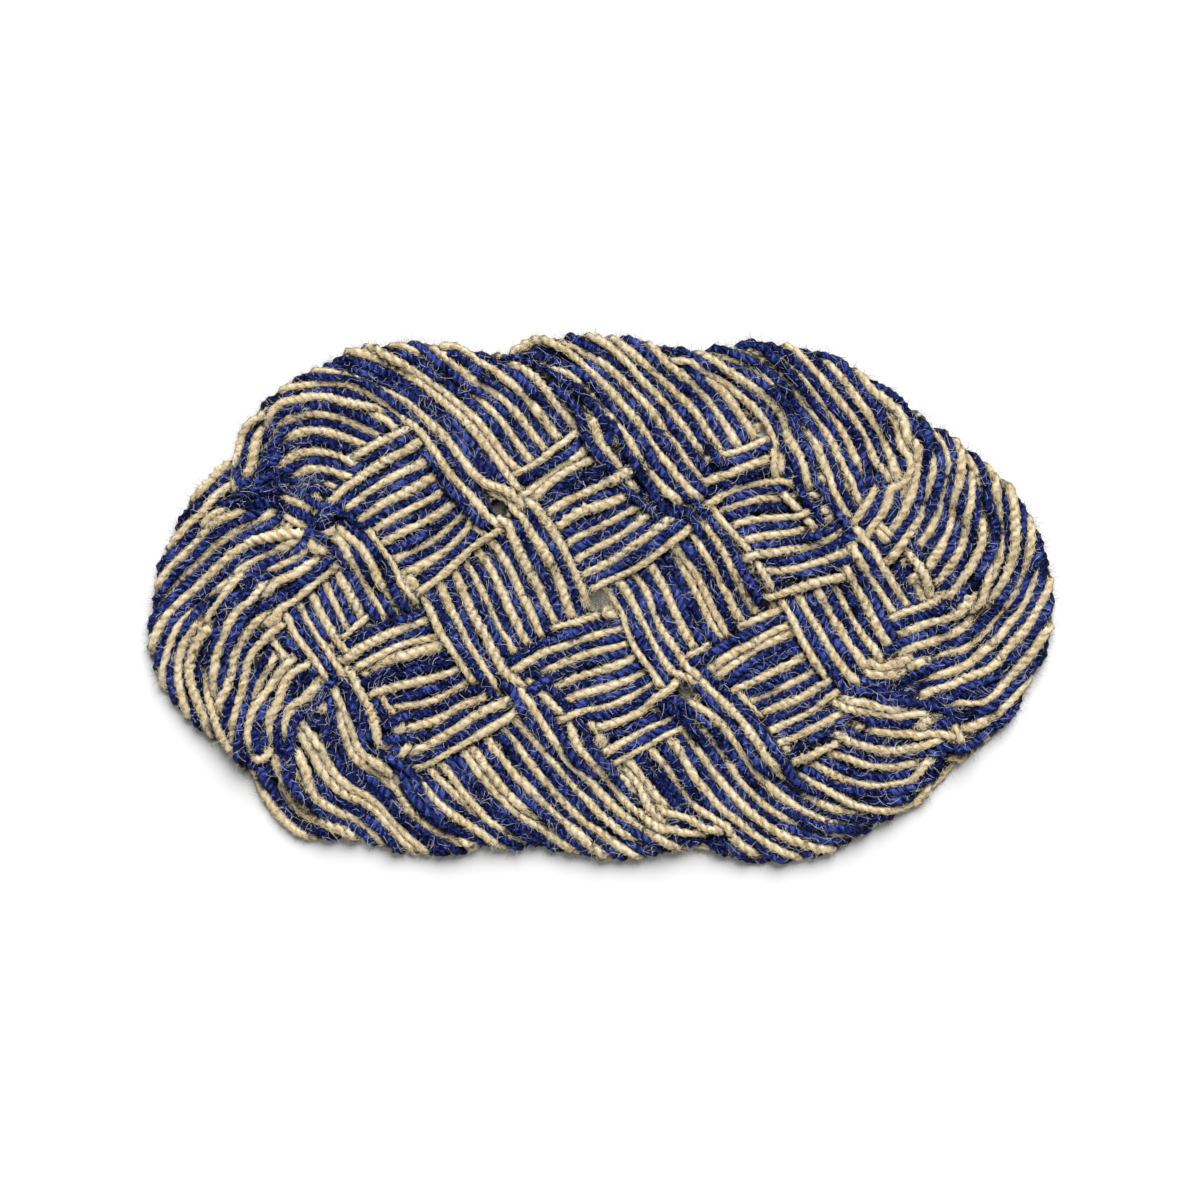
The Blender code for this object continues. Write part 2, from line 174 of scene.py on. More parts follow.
def lead_stations():
    """All the stations in order of travel, and the crossings that the lead passes over."""
    places = []
    over = True
    for stop in ROUTE:
        if isinstance(stop, str):
            places += [(bend[:2], "turn", bend) for bend in TURNS[stop]]
            continue
        places.append((CROSSINGS[stop][:2], "over" if over else "under", stop))
        over = not over
    rows, passes = [], []
    for index, (place, kind, name) in enumerate(places):
        ahead = np.array(places[(index + 1) % len(places)][0])
        behind = np.array(places[index - 1][0])
        if kind == "over":
            rows += over_stations(CROSSINGS[name], ahead - behind, len(passes))
            passes.append(name)
        elif kind == "under":
            x, y, half_width = UNDER_PLACES.get(name, (*place, UNDER_HALF))
            rows.append(Station(x, y, None, half_width, UNDER_HEIGHT, "under"))
        else:
            rows.append(Station(*place, None, name[2], TURN_HEIGHT, "turn"))
    return rows, passes


stations, passes = lead_stations()
print(len(stations), "stations,", len(passes), "over passes:", passes)

# %% [markdown]
# ## A path for every yarn
# The yarns keep side by side, so a yarn's path is the lead's centre line moved sideways by the yarn's share
# of the half width. Now and then two neighbours change places under another strip, where nobody sees it.
# The colours across the lead are charted as a line of letters, n for natural and b for blue.

# %% The lead's centre line
LEAD_ORDER = "nbnbnbnbnbnbnbnbn"
YARNS = len(LEAD_ORDER)
LAST_RANK = YARNS - 1
MIDDLE_RANK = LAST_RANK / 2
SAMPLE_STEP = 3.0
TANGENT_SHARE = 0.9
SWAP_REACH = 26.0
rng = np.random.default_rng(20)


def travel(line):
    """How far along a line each of its points lies."""
    return np.concatenate([[0], np.cumsum(np.linalg.norm(np.diff(line, axis=0), axis=1))])


def station_tangents(rows):
    """Direction of travel at each station."""
    place = np.array([(row.x, row.y) for row in rows], dtype=float)
    before = place - np.roll(place, 1, 0)
    after = np.roll(place, -1, 0) - place
    before_length = np.linalg.norm(before, axis=1)[:, None]
    after_length = np.linalg.norm(after, axis=1)[:, None]
    tangent = before / before_length * after_length + after / after_length * before_length
    tangent /= np.linalg.norm(tangent, axis=1)[:, None]
    for index, row in enumerate(rows):
        if row.direction is not None:
            tangent[index] = row.direction
    return place, tangent


def trace_lead(rows):
    """Samples along the closed lead: centre, half width, height, and the place of each in the rows."""
    place, tangent = station_tangents(rows)
    centre, half_width, height, row_number = [], [], [], []
    for index, row in enumerate(rows):
        following = (index + 1) % len(rows)
        chord = np.linalg.norm(place[following] - place[index])
        count = max(4, round(chord / SAMPLE_STEP))
        u = (np.arange(count) / count)[:, None]
        reach = chord * TANGENT_SHARE
        centre.append(
            (2 * u**3 - 3 * u**2 + 1) * place[index] + (u**3 - 2 * u**2 + u) * reach * tangent[index]
            + (3 * u**2 - 2 * u**3) * place[following] + (u**3 - u**2) * reach * tangent[following]
        )
        ease = eased(u)[:, 0]
        half_width.append(row.half_width * (1 - ease) + rows[following].half_width * ease)
        height.append(row.height * (1 - ease) + rows[following].height * ease)
        row_number.append(index + u[:, 0])
    return tuple(np.concatenate(parts) for parts in (centre, half_width, height, row_number))


lead_centre, lead_half, lead_height, lead_row = trace_lead(stations)
lead_travel = travel(np.vstack([lead_centre, lead_centre[:1]]))
print("lead", round(lead_travel[-1]), "mm long,", len(lead_centre), "samples")

# %% Ranks: which place across the lead each yarn has in each pass


def shuffled(ranks):
    """The ranks after a few neighbours changed places."""
    ranks = ranks.copy()
    for _ in range(rng.integers(0, 3)):
        first = rng.integers(0, LAST_RANK)
        one, other = np.flatnonzero(ranks == first)[0], np.flatnonzero(ranks == first + 1)[0]
        ranks[[one, other]] = ranks[[other, one]]
    return ranks


def yarn_ranks():
    """For every yarn and sample, the place across the lead from 0 to the last rank."""
    base = np.arange(YARNS)
    ranks = [base] + [shuffled(base) for _ in passes[1:]]
    travelled = lead_travel[:-1]
    places = []
    current = 0
    for index, row in enumerate(stations):
        if isinstance(row.pass_number, int):
            current = row.pass_number
        if row.pass_number == "under":
            places.append((travelled[np.searchsorted(lead_row, index)], current))
    rank = np.repeat(ranks[0][:, None].astype(float), len(travelled), axis=1)
    for place, number in places:
        before, after = ranks[number], ranks[(number + 1) % len(ranks)]
        u = np.clip((travelled - place + SWAP_REACH) / (2 * SWAP_REACH), 0, 1)
        ease = eased(u)
        blended = before[:, None] * (1 - ease) + after[:, None] * ease
        rank[:, u > 0] = blended[:, u > 0]
    return rank


yarn_rank = yarn_ranks()
print("yarn order, first pass:", LEAD_ORDER)

# %% [markdown]
# ## Turning over at the rim
# A lead this wide can't bend sideways without buckling, so it rolls over: coming out from under a strip it
# lies flat on the floor, then yarn after yarn climbs round the rim and runs inward on top of the others,
# until all of them lie on top in mirrored order. Along a turn the lead is two layers deep and half as wide.

# %% Fold progress along every turn
# Millimetres from yarn to yarn on a turn, and how much the roll runs ahead at first.
TURN_PITCH = 7.0
ROLL_LEAD = 1.35
# Start and end of a fold, in stations from the under pass.
FOLD_START, FOLD_END = 0.45, 3.7
FOLD_LIMITS = {"right bight": (-0.1, 3.9), "left bight": (-0.1, 3.9)}
# Share of a fold that blends into the straight strip, and how many yarns climb at a time.
FOLD_BLEND = 0.15
CLIMB = 3.0
# Heights of the two layers, roundness of the fold in yarns, and how far in its rim lies.
FLOOR_LAYER = 3.2
TOP_LAYER = 10.5
RIM_ROUNDING = 1.3
RIM_INSET = 5.0


def turn_ranges():
    """Each turn's name, its first station, and whether the lead enters it from under a strip."""
    ranges = []
    names = [stop for stop in ROUTE if isinstance(stop, str)]
    bends = [index for index, row in enumerate(stations) if row.pass_number == "turn"]
    for number, name in enumerate(names):
        first = bends[3 * number]
        under_first = stations[first - 1].pass_number == "under"
        ranges.append((name, first, under_first))
    return ranges


def lead_sides():
    """Offset to the left and height of every yarn at every sample, in millimetres."""
    direction = np.roll(lead_centre, -1, 0) - np.roll(lead_centre, 1, 0)
    direction /= np.linalg.norm(direction, axis=1)[:, None]
    left = np.stack([-direction[:, 1], direction[:, 0]], axis=1)
    offset = np.zeros((YARNS, len(lead_centre)))
    across = yarn_rank / MIDDLE_RANK - 1
    height = np.repeat(lead_height[None], YARNS, axis=0)
    facing = 1.0
    begin = 0.0
    for name, first, under_first in turn_ranges():
        low, high = FOLD_LIMITS.get(name, (FOLD_START, FOLD_END))
        if under_first:
            enter, leave = first - 1 + low, first - 1 + high
        else:
            enter, leave = first + 3 - high, first + 3 - low
        leg = (lead_row >= begin) & (lead_row < enter)
        offset[:, leg] = facing * across[:, leg] * lead_half[leg]
        turn = (lead_row >= enter) & (lead_row < leave)
        middle = np.searchsorted(lead_row, first + 1)
        outer = 1.0 if lead_centre[middle] @ left[middle] > 0 else -1.0
        travelled = lead_travel[:-1][turn]
        progress = (travelled - travelled[0]) / (travelled[-1] - travelled[0])
        under_facing = facing if under_first else -facing
        if not under_first:
            progress = 1 - progress
        from_rim = MIDDLE_RANK * (1 - outer * under_facing * across[:, turn])
        rolled = LAST_RANK * (1 - (1 - progress) ** ROLL_LEAD)
        ends = np.clip(progress / FOLD_BLEND, 0, 1) * np.clip((1 - progress) / FOLD_BLEND, 0, 1)
        pitch = lead_half[turn] / MIDDLE_RANK * (1 - ends) + TURN_PITCH * ends
        rounding = RIM_ROUNDING * ends
        inset = RIM_INSET * ends
        from_turn = np.sqrt((from_rim - rolled) ** 2 + rounding**2) - rounding
        offset[:, turn] = outer * (lead_half[turn] - inset - from_turn * pitch)
        u = np.clip(0.5 + (rolled - from_rim) / CLIMB, 0, 1)
        rise = eased(u)
        upper = np.maximum(lead_height[turn], TOP_LAYER)
        height[:, turn] = FLOOR_LAYER * (1 - rise) + upper * rise
        facing, begin = -facing, leave
    leg = lead_row >= begin
    offset[:, leg] = facing * across[:, leg] * lead_half[leg]
    return left, offset, height


lead_left, yarn_offset, fold_height = lead_sides()
print("turns folded:", len(turn_ranges()))

# %% [markdown]
# ## Strip edges beside the gaps
# Where four strips meet, their edges leave a small square gap or close up over it. On each strip that
# passes a gap, the side that faces it is squeezed or let out until its edge yarn touches it, and the change
# fades out along it.

# %% Edges drawn in or let out
# How far the change reaches along a strip, and what share of the half width it may leave.
PINCH_REACH = 24.0
EDGE_LIMITS = (0.76, 1.15)
# A strip passes a gap where it comes nearest, within this distance.
BESIDE = 70.0
NEIGHBOURS = (-8, -1, 1, 8)


def pinched(offset, left):
    """The offsets, with the edges drawn in or let out beside every gap."""
    offset = offset.copy()
    length = lead_travel[-1]
    turning = np.array([row.pass_number == "turn" for row in stations])
    straight = ~(turning | np.roll(turning, -1))[lead_row.astype(int)]
    for gap in GAPS:
        place = np.array([gap.x, gap.y])
        distance = np.linalg.norm(lead_centre - place, axis=1)
        lowest = np.all([distance <= np.roll(distance, shift) for shift in NEIGHBOURS], axis=0)
        for sample in np.flatnonzero(straight & lowest & (distance < BESIDE)):
            side = (place - lead_centre[sample]) @ left[sample]
            share = np.clip((abs(side) - gap.radius - YARN_RADIUS) / lead_half[sample], *EDGE_LIMITS)
            along = (lead_travel[:-1] - lead_travel[sample] + length / 2) % length - length / 2
            factor = 1 + (share - 1) * np.exp(-((along / PINCH_REACH) ** 2))
            offset *= np.where(np.sign(offset) == np.sign(side), factor, 1.0)
    return offset


yarn_offset = pinched(yarn_offset, lead_left)
print("offsets from", yarn_offset.min().round(1), "to", yarn_offset.max().round(1))

# %% [markdown]
# ## Diving under the next strip
# A yarn goes down where it meets the edge of the strip that covers it. The ground of one crossing ends half
# way to the next. Measuring that along each yarn's own path gives the slanted ends that strips have on a
# plaited mat.

# %% Heights between crossings
# Length of a dive along the strip, in millimetres.
DIVE = 28.0


def dived(height, offset, left):
    """The heights, with a dive where a yarn passes from one crossing's ground to the next."""
    height = height.copy()
    middles = [
        index for index, row in enumerate(stations)
        if row.pass_number == "under" or row.height == OVER_HEIGHT
    ]
    for first, second in zip(middles, middles[1:]):
        if any(row.pass_number == "turn" for row in stations[first:second]):
            continue
        here, there = np.array(stations[first][:2]), np.array(stations[second][:2])
        chord = there - here
        span = np.linalg.norm(chord)
        between = (lead_row >= first) & (lead_row < second)
        xy = lead_centre[between] + offset[:, between, None] * left[between]
        share = (xy - here) @ chord / span**2
        u = np.clip((share - 0.5) * span / DIVE + 0.5, 0, 1)
        ease = eased(u)
        height[:, between] = stations[first].height * (1 - ease) + stations[second].height * ease
    return height


yarn_height = dived(fold_height, yarn_offset, lead_left)
print("heights from", yarn_height.min().round(1), "to", yarn_height.max().round(1))

# %% [markdown]
# ## Hand-laid yarns
# No yarn of a hand-plaited mat runs parallel to its neighbour for long. Each path wanders a little before
# it is cut into evenly spaced nodes, the beads that the next step pushes about.

# %% Yarn paths before they settle
NODE_STEP = 4.0
# Samples between the knots of the wandering, and its size in millimetres.
SWAY_KNOTS, SWAY = 20, 1.8
LIFT_KNOTS, LIFT = 13, 1.3


def smooth_noise(count, spacing, strength):
    """Wandering values round a closed line: random knots, joined smoothly."""
    knots = max(4, round(count / spacing))
    values = rng.normal(0, strength, knots)
    position = np.arange(count) / count * knots
    index = position.astype(int)
    u = position - index
    ease = eased(u)
    return values[index % knots] * (1 - ease) + values[(index + 1) % knots] * ease


def evenly(closed, step, axes):
    """Even places along a closed line, and its length as measured over the first axes."""
    travelled = travel(closed[:, :axes])
    count = round(travelled[-1] / step)
    stops = np.arange(count) * travelled[-1] / count
    return np.column_stack([np.interp(stops, travelled, column) for column in closed.T]), travelled[-1]


def yarn_paths():
    """One closed line of evenly spaced nodes per yarn, in millimetres."""
    lines = []
    for sideways, height in zip(yarn_offset, yarn_height):
        sway = smooth_noise(len(lead_centre), SWAY_KNOTS, SWAY)
        xy = lead_centre + (sideways + sway)[:, None] * lead_left
        xyz = np.column_stack([xy, height + smooth_noise(len(lead_centre), LIFT_KNOTS, LIFT)])
        lines.append(evenly(np.vstack([xyz, xyz[:1]]), NODE_STEP, 2)[0])
    return lines


yarn_lines = yarn_paths()
yarn_start = np.concatenate([[0], np.cumsum([len(line) for line in yarn_lines])])
print(yarn_start[-1], "nodes,", round(yarn_start[-1] * NODE_STEP / 1000, 1), "m of yarn")

# %% [markdown]
# ## Letting the yarns settle
# Straight from the tables the strips would cut through one another. On the real mat the yarns push each
# other aside until they lie against their neighbours. Here each node is drawn to its place, pulled down,
# smoothed along its yarn, and pushed off every node that is too near.

# %% Settle
SETTLE_STEPS = 160
# Neighbours are looked up every ten steps, without the next four along a yarn.
REFRESH = 10
CONTACT_MARGIN = 2.5
ALONG = 4
# One step: the pull home at first and later, smoothing, pushing off, sinking.
HOLD_FIRST, HOLD_LATER, LATER = 0.06, 0.02, 0.6
SMOOTHING, SMOOTH_ROUNDS = 0.35, 2
GAP_PUSH = 0.5
CONTACT_PUSH, CONTACT_ROUNDS = 1.3, 3
SINK = 0.2
# The heights are pressed to this share at the end, and no yarn's middle then lies above the ceiling.
SQUASH = 0.78
CEILING = 14.2
# Hand-spun yarn varies from yarn to yarn and along itself, and dyeing swells it a little.
YARN_SPREAD = 0.05
NATURAL_SIZE, NAVY_SIZE = 0.99, 1.03
SLUBS, SLUB_LIMITS = ((12, 0.12), (4, 0.09)), (-0.25, 0.3)
# Left of the middle a natural yarn was spun slack, and lies there fat and flat.
SLACK_PLACE, SLACK_REACH, SLACK_SWELL = (-43, 24), (13, 34), 0.45


def node_radii():
    """Radius at every node."""
    parts = []
    for yarn, line in enumerate(yarn_lines):
        natural = LEAD_ORDER[yarn] == "n"
        base = YARN_RADIUS * (1 + rng.normal(0, YARN_SPREAD)) * (NATURAL_SIZE if natural else NAVY_SIZE)
        wander = sum(smooth_noise(len(line), spacing, strength) for spacing, strength in SLUBS)
        slack = 0.0
        if natural:
            away = (line[:, :2] - SLACK_PLACE) / SLACK_REACH
            slack = SLACK_SWELL * np.exp(-(away**2).sum(axis=1))
        parts.append(base * (1 + np.clip(wander, *SLUB_LIMITS) + slack))
    return np.concatenate(parts)


def close_pairs(points, reach):
    """Pairs of nodes nearer than the reach, without near neighbours along one yarn."""
    tree = KDTree(len(points))
    for index, point in enumerate(points):
        tree.insert(point, index)
    tree.balance()
    first, second = np.array([
        (index, other) for index, point in enumerate(points)
        for _, other, _ in tree.find_range(point, reach) if other > index
    ]).T
    same = node_yarn[first] == node_yarn[second]
    apart = np.abs(first - second)
    near = same & ((apart <= ALONG) | (apart >= node_count[first] - ALONG))
    return first[~near], second[~near]


def settle(points, radius, behind, ahead):
    """Moves the nodes until they lie against one another."""
    home = points[:, :2].copy()
    for step in range(SETTLE_STEPS):
        if step % REFRESH == 0:
            first, second = close_pairs(points, 2 * YARN_RADIUS + CONTACT_MARGIN)
            wanted = radius[first] + radius[second]
        hold = HOLD_FIRST if step < SETTLE_STEPS * LATER else HOLD_LATER
        points[:, :2] += hold * (home - points[:, :2])
        points[:, 2] -= SINK
        for _ in range(SMOOTH_ROUNDS):
            middle = 0.5 * (points[behind] + points[ahead])
            points += SMOOTHING * (middle - points)
        for gap in OPEN_GAPS:
            away = points[:, :2] - (gap.x, gap.y)
            distance = np.linalg.norm(away, axis=1)
            push = np.clip(gap.radius + radius - distance, 0, None) / np.maximum(distance, 0.5)
            points[:, :2] += GAP_PUSH * push[:, None] * away
        for _ in range(CONTACT_ROUNDS):
            offset = points[second] - points[first]
            distance = np.sqrt((offset**2).sum(1))
            overlap = wanted - distance
            touching = overlap > 0
            move = (0.5 * overlap / np.maximum(distance, 0.1))[touching, None] * offset[touching]
            i, j = first[touching], second[touching]
            total = np.zeros_like(points)
            for axis in range(3):
                pushed = np.bincount(j, move[:, axis], len(points))
                total[:, axis] = pushed - np.bincount(i, move[:, axis], len(points))
            touches = np.bincount(i, minlength=len(points)) + np.bincount(j, minlength=len(points))
            points += CONTACT_PUSH * total / np.maximum(touches, 2)[:, None]
            points[:, 2] = np.clip(points[:, 2], radius, CEILING / SQUASH)
    points[:, 2] *= SQUASH
    return points


node_yarn = np.repeat(np.arange(YARNS), np.diff(yarn_start))
node_count = np.diff(yarn_start)[node_yarn]
node_ahead = np.arange(yarn_start[-1]) + 1
node_ahead[yarn_start[1:] - 1] = yarn_start[:-1]
node_behind = np.arange(yarn_start[-1]) - 1
node_behind[yarn_start[:-1]] = yarn_start[1:] - 1
node_radius = node_radii()
nodes = settle(np.vstack(yarn_lines), node_radius, node_behind, node_ahead)
print("yarn heights, mm:", np.round(np.percentile(nodes[:, 2], [0, 5, 50, 95, 100]), 1))
print("box", nodes.min(0).round(1), nodes.max(0).round(1))

# %% [markdown]
# ## Twisted yarn
# Coir yarn is laid up from two plies with the twist of the letter S. A ring of six corners is carried along
# the path, and each corner reaches out the farther the nearer it is to the back of a ply, so that two
# ridges wind round the yarn. Six corners are enough, since the fibres hide the edges between them.

# %% Rings along a yarn
RING_STEP = 2.0
CORNERS = 6
PLIES = 2
# A trodden yarn is flatter than wide, and its surface is uneven.
FLATNESS = 0.86
ROUGHNESS = 0.075
# How the twist varies between yarns and along one, and how firmly the plies stand out.
LAY_SPREAD = (0.85, 1.2)
TWIST_KNOTS, TWIST_WANDER = 14, 0.13
FIRM_KNOTS, FIRM_WANDER = 9, 0.45
FIRM, FIRM_LIMITS = 0.9, (0.1, 1.6)


def resampled(line, step):
    """A closed line with even steps, run smoothly through its nodes, and its length."""
    before, after, beyond = np.roll(line, 1, 0), np.roll(line, -1, 0), np.roll(line, -2, 0)
    fine = np.stack([
        0.5 * (
            2 * line + (after - before) * u + (2 * before - 5 * line + 4 * after - beyond) * u**2
            + (3 * line - before - 3 * after + beyond) * u**3
        ) for u in np.arange(4) / 4
    ], axis=1).reshape(-1, line.shape[1])
    return evenly(np.vstack([fine, fine[:1]]), step, 3)


def ring_points(centre, direction, reach, flatness=1.0):
    """Rings of corners round the centres, square to the way the yarn runs."""
    direction = direction / np.linalg.norm(direction, axis=1)[:, None]
    side = np.cross(direction, (0.0, 0.0, 1.0))
    side /= np.linalg.norm(side, axis=1)[:, None]
    up = np.cross(side, direction)
    angle = math.tau * (np.arange(reach.shape[1]) / reach.shape[1])[None, :, None]
    outward = np.cos(angle) * side[:, None] + flatness * np.sin(angle) * up[:, None]
    return centre[:, None] + reach[..., None] * outward


def ring_quads(following, corners):
    """Quads between each ring and the one that follows it."""
    first, second = np.arange(len(following))[:, None] * corners, following[:, None] * corners
    here = np.arange(corners)[None]
    there = (here + 1) % corners
    quads = np.stack([first + here, first + there, second + there, second + here], axis=-1)
    return quads.reshape(-1, 4)


def yarn_mesh(line, radius, lay, swell):
    """Points of the rings, their quads, and plain and wound coordinates of each quad corner."""
    rows, length = resampled(np.column_stack([line, radius]), RING_STEP)
    centre, thick = rows[:, :3], rows[:, 3]
    count = len(centre)
    turns = round(PLIES * length / (lay * rng.uniform(*LAY_SPREAD))) / PLIES
    twist = turns * np.arange(count + 1) / count
    twist += smooth_noise(count, TWIST_KNOTS, TWIST_WANDER)[np.arange(count + 1) % count]
    corner = np.arange(CORNERS) / CORNERS
    ply = np.cos(math.tau * PLIES * (corner[None] + twist[:-1, None]))
    firm = swell * np.clip(FIRM + smooth_noise(count, FIRM_KNOTS, FIRM_WANDER), *FIRM_LIMITS)[:, None]
    reach = thick[:, None] * (1 + firm * ply + rng.normal(0, ROUGHNESS, (count, CORNERS)))
    points = ring_points(centre, np.roll(centre, -1, 0) - np.roll(centre, 1, 0), reach, FLATNESS)
    points[..., 2] = np.maximum(points[..., 2], 0.0)
    quads = ring_quads((np.arange(count) + 1) % count, CORNERS)
    step = length / count
    u0 = np.broadcast_to(np.arange(count)[:, None] * step, (count, CORNERS))
    v0 = np.broadcast_to(corner[None], (count, CORNERS))

    def quad_map(low, high):
        """One value pair for each corner of each quad."""
        ends = (u0, low), (u0, low + 1 / CORNERS), (u0 + step, high + 1 / CORNERS), (u0 + step, high)
        return np.stack([np.stack(pair, -1) for pair in ends], axis=2).reshape(-1, 4, 2)

    plain, wound = quad_map(v0, v0), quad_map(v0 + twist[:-1, None], v0 + twist[1:, None])
    return points.reshape(-1, 3), quads, plain, wound, length


print("a yarn ring has", CORNERS, "corners for", PLIES, "plies")

# %% [markdown]
# ## How deep a place lies
# The grooves between yarns are painted darker as shade, since light hardly reaches them, and fibres show
# only on yarns that lie open. Both need to know how deep a place lies, so the highest and lowest yarn are
# noted once for every small cell of a grid.

# %% Height fields over a grid of cells
CELL = 1.5
GRID = (520, 330)
GRID_CORNER = np.array([390.0, 245.0])
CELLS_ROUND = (-2, -1, 0, 1, 2)
NO_YARN = 50.0
# Painted shade begins this deep, in millimetres, and is full after this much more.
SHADE_FROM, SHADE_RANGE = 1.1, 1.5


def to_frame(points):
    """Millimetres of the plait's tables to metres of the frame."""
    return (points - (*PLAIT_CENTRE, 0.0)) * MM


def cells(points):
    """Row and column of the grid cell that each point lies over."""
    return np.floor((points[:, :2] + GRID_CORNER) / CELL).astype(int)


def height_fields():
    """The highest and lowest yarn surface over every cell."""
    top = np.full(GRID, -NO_YARN)
    bottom = np.full(GRID, NO_YARN)
    ahead = nodes[node_ahead]
    for share in (0.0, 0.5):
        middle = nodes * (1 - share) + ahead * share
        for i in CELLS_ROUND:
            for j in CELLS_ROUND:
                away = CELL * math.hypot(i, j)
                bulge = np.sqrt(np.clip(node_radius**2 - away**2, 0, None))
                inside = bulge > 0
                place = tuple((cells(middle) + (i, j))[inside].T)
                np.maximum.at(top, place, (middle[:, 2] + bulge)[inside])
                np.minimum.at(bottom, place, (middle[:, 2] - bulge)[inside])
    for shift in ((1, 0), (-1, 0), (0, 1), (0, -1)):
        top = np.maximum(top, np.roll(top, shift, (0, 1)))
        bottom = np.minimum(bottom, np.roll(bottom, shift, (0, 1)))
    return top, bottom


top_field, bottom_field = height_fields()


def depth_below_top(points):
    """How far points lie under the highest yarn around them."""
    return top_field[tuple(cells(points).T)] - points[:, 2]


def crevice_shade(points):
    """Share of painted shade: 0 on the open faces of the mat, 1 deep between its yarns."""
    above = depth_below_top(points)
    below = points[:, 2] - bottom_field[tuple(cells(points).T)]
    return np.clip((np.minimum(above, below) - SHADE_FROM) / SHADE_RANGE, 0, 1)


print("cells with yarn:", int((top_field > 0).sum()))

# %% [markdown]
# ## One mesh at a time
# A piece has up to a hundred thousand corners, too many to set one by one. Blender takes whole arrays at
# once.

# %% A mesh object from arrays


def stood(name, data):
    """A new object in the scene."""
    thing = bpy.data.objects.new(name, data)
    bpy.context.scene.collection.objects.link(thing)
    return thing


def mesh_object(name, points, faces, corner_maps, material):
    """A smooth mesh object from numpy arrays, with its corner maps."""
    mesh = bpy.data.meshes.new(name)
    sides = faces.shape[1]
    mesh.vertices.add(len(points))
    mesh.vertices.foreach_set("co", points.astype(np.float32).ravel())
    mesh.loops.add(faces.size)
    mesh.loops.foreach_set("vertex_index", faces.astype(np.int32).ravel())
    mesh.polygons.add(len(faces))
    mesh.polygons.foreach_set("loop_start", (np.arange(len(faces)) * sides).astype(np.int32))
    mesh.polygons.foreach_set("use_smooth", np.ones(len(faces), dtype=bool))
    for map_name, values in corner_maps.items():
        layer = mesh.uv_layers.new(name=map_name)
        layer.data.foreach_set("uv", values.astype(np.float32).ravel())
    mesh.update(calc_edges=True)
    mesh.validate()
    mesh.materials.append(material)
    return stood(name, mesh)


# %% [markdown]
# ## Natural and dyed coir
# Coir is the coarse golden fibre of the coconut husk. It has hardly any gloss and its straw colour wanders
# within one yarn. The dips between the plies are painted darker as shade, and the backs of the plies
# lighter as a painted highlight. Dyed coir has the same surface, with a few fibres that the dye hardly took
# on. A noise that follows the plies picks the tone; painted shade in the dips, flecks and painted shade by
# depth are mixed over it in turn.

# %% Colour and node helpers


def linear(hex_colour):
    """An sRGB hex colour as the linear values that shaders use."""
    channels = [int(hex_colour[i:i + 2], 16) / 255 for i in (1, 3, 5)]
    return tuple(c / 12.92 if c <= 0.04045 else ((c + 0.055) / 1.055) ** 2.4 for c in channels) + (1.0,)


def add(tree, kind, links=None, out=0, stops=(), **settings):
    """Adds a node: links gives each input a value or another node's output. Gives back an output."""
    node = tree.nodes.new("ShaderNode" + kind)
    for number, (place, colour) in enumerate(stops):
        if number > 1:
            node.color_ramp.elements.new(place)
        node.color_ramp.elements[number].position = place
        node.color_ramp.elements[number].color = linear(colour)
    for name, value in settings.items():
        setattr(node, name, value)
    for name, value in (links or {}).items():
        if isinstance(value, bpy.types.NodeSocket):
            tree.links.new(value, node.inputs[name])
        else:
            node.inputs[name].default_value = value
    return node.outputs[out] if node.outputs else None


print("straw in linear light:", [round(value, 3) for value in linear("#e3d2af")])

# %% Spun coir
# Single fibres, 0.1 to 0.3 mm thick, are too fine to show, so they are drawn coarser: as patches 4.3 mm
# long, five round a yarn.
PATCHES = (230.0, 5.0, 1.0)
# Changes to the metre: the tone wanders over 18 mm, the painted shade in the dips breaks up over 6 mm,
# flecks lie 2.4 mm apart.
SHADE_WANDER, DIP_BREAKS, FLECKS = 55.0, 160.0, 420.0
# How much lighter the back of a ply is painted, as a highlight, and how much of the painted deep shade
# reaches the deepest places.
PLY_HIGHLIGHT, DEEP_SHADE_SHARE = 0.04, 0.95


